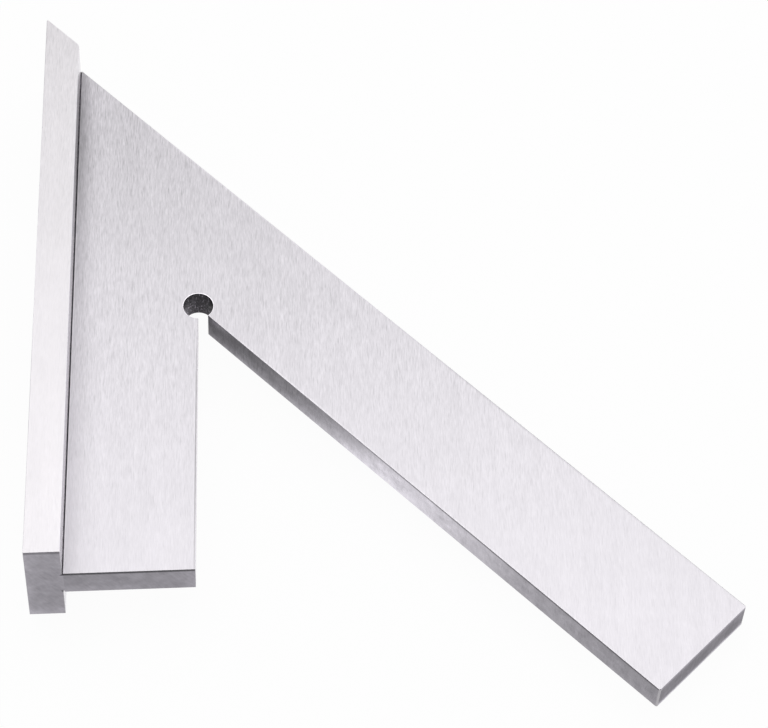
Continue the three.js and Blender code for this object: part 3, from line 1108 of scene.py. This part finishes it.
blade_rules = [
    (milled_groove, in_groove),
    (bright_edge, on_hole_rim),
    (blade_foot, on_upper_break(below_foot)),
    (square_end, on_upper_break(along_long_leg)),
    (mitre_break, on_upper_break(-into_the_v)),
    (blade_face, looks_along(UP_AND_DOWN)),
    (drilled_wall, in_relief_hole),
    (inner_edge, in_the_v),
    (long_edge, looks_along(into_the_v)),
    (guide_face, looks_along(ACROSS_STOCK)),
    (stock_foot, on_tongue_end),
    (blade_foot, at_the_foot),
    (square_end, looks_along(along_long_leg)),
    (upright_edge, on_upright_corner),
]
stock_rules = [
    (milled_groove, in_slot),
    (stock_foot, on_upper_break(below_foot)),
    (stock_break, on_upper_break(-ACROSS_STOCK)),
    (stock_face, looks_along(UP_AND_DOWN)),
    (stock_side, on_outer_side),
    (guide_face, looks_along(ACROSS_STOCK)),
    (stock_foot, at_the_foot),
    (long_edge, looks_along(into_the_v)),
    (upright_edge, on_upright_corner),
]
finish(blade, bright_edge, blade_rules)
finish(stock, bright_edge, stock_rules)
for pin in pins:
    finish(pin, pin_end, [])

# %% [markdown]
# Each new piece rides on the square's one body and stands for a imported node, which is then hidden.

# %% Tie the pieces to the frame
for piece, node, slot in (
    (blade, "blade", "blade_steel"),
    (stock, "stock", "stock_steel"),
    *((pin, node, "pin_steel") for pin, node in zip(pins, pin_nodes)),
):
    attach(piece, "root")
    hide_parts(node)

# %% [markdown]
# The square doesn't lie level. Its stock hangs below the blade, so it rests on the stock's lower inner
# edge and on the far corner of the long leg, and leans by a few degrees. The frame's axes are the
# square's own, so it is the table that is turned here, until it touches those two places.

# %% Table
TABLE_SIZE = 6000 * MM

lean = (blade_bottom - stock_low.z) / (outer_end.x - guide_x)
bpy.ops.object.select_all(action="DESELECT")
bpy.ops.mesh.primitive_plane_add(size=TABLE_SIZE, location=(guide_x, 0, stock_low.z))
table = bpy.context.object
table.name = "table"
bpy.ops.transform.rotate(value=lean, orient_axis="Y", center_override=table.location)
print("table normal", table.matrix_world.to_3x3() @ Vector((0, 0, 1)), "lean", lean)

# %% [markdown]
# In the photograph the table is plain white. More light would make paper so, but the steel would burn
# out with it. So the paper is matt white for the light that falls on it, and where the camera sees it,
# or the steel mirrors it, most of it is a glow of strength 1. The rest keeps the square's soft shadow.

# %% Paper on the table
PAPER_SHADE = 0.97
PAPER_ROUGHNESS = 0.9
GLOW_SHARE = 0.95

paper = bpy.data.materials.new("table_paper")
paper.use_nodes = True
tree = paper.node_tree
shader = tree.nodes["Principled BSDF"]
shader.inputs["Base Color"].default_value = (PAPER_SHADE, PAPER_SHADE, PAPER_SHADE, 1)
shader.inputs["Roughness"].default_value = PAPER_ROUGHNESS
shader.inputs["Specular IOR Level"].default_value = 0.0
glow = add(tree, "ShaderNodeEmission", Strength=1.0)
ray = add(tree, "ShaderNodeLightPath")
camera_or_glossy = add(tree, "ShaderNodeMath", operation="MAXIMUM")
any_of_three = add(tree, "ShaderNodeMath", operation="MAXIMUM")
share = add(tree, "ShaderNodeMath", operation="MULTIPLY")
share.inputs[1].default_value = GLOW_SHARE
blend = add(tree, "ShaderNodeMixShader")
for output, target in (
    (ray.outputs["Is Camera Ray"], camera_or_glossy.inputs[0]),
    (ray.outputs["Is Glossy Ray"], camera_or_glossy.inputs[1]),
    (camera_or_glossy.outputs["Value"], any_of_three.inputs[0]),
    (ray.outputs["Is Transmission Ray"], any_of_three.inputs[1]),
    (any_of_three.outputs["Value"], share.inputs[0]),
    (share.outputs["Value"], blend.inputs["Fac"]),
    (shader.outputs["BSDF"], blend.inputs[1]),
    (glow.outputs["Emission"], blend.inputs[2]),
    (blend.outputs["Shader"], tree.nodes["Material Output"].inputs["Surface"]),
):
    link(output, target)
table.data.materials.append(paper)
print("paper glows by", GLOW_SHARE)

# %% [markdown]
# The light is one large soft box above and behind the square, a little to the right. The blade is
# brightest at the lower right, where it mirrors the box well inside its rim, and greyer at its tip,
# where it mirrors the rim itself. A pale world fills the rest. A few small lamps could give as much
# light, but ground steel would draw each of them out into a streak.

# %% Light
WORLD_STRENGTH = 0.6
BOX_RADIANCE = 1.1
BOX_WIDTH = 1600 * MM
BOX_DEPTH = 850 * MM
BOX_DISTANCE = 1200 * MM
BOX_ELEVATION = radians(71.5)
BOX_AZIMUTH = radians(5)

world = bpy.data.worlds.new("pale_room")
world.use_nodes = True
world.node_tree.nodes["Background"].inputs["Color"].default_value = (1, 1, 1, 1)
world.node_tree.nodes["Background"].inputs["Strength"].default_value = WORLD_STRENGTH
bpy.context.scene.world = world

level = cos(BOX_ELEVATION)
towards_box = Vector((sin(BOX_AZIMUTH) * level, cos(BOX_AZIMUTH) * level, sin(BOX_ELEVATION)))
bpy.ops.object.light_add(type="AREA", location=towards_box * BOX_DISTANCE)
soft_box = bpy.context.object
soft_box.name = "soft_box"
soft_box.rotation_euler = towards_box.to_track_quat("Z", "Y").to_euler()
soft_box.data.shape = "RECTANGLE"
soft_box.data.size = BOX_WIDTH
soft_box.data.size_y = BOX_DEPTH
soft_box.data.energy = BOX_RADIANCE * pi * BOX_WIDTH * BOX_DEPTH
print("soft box", round(soft_box.data.energy, 2), "W")

# %% [markdown]
# Last, the view is set to plain Standard, in which a colour renders about as it is written.

# %% Finish
bpy.context.scene.view_settings.view_transform = "Standard"
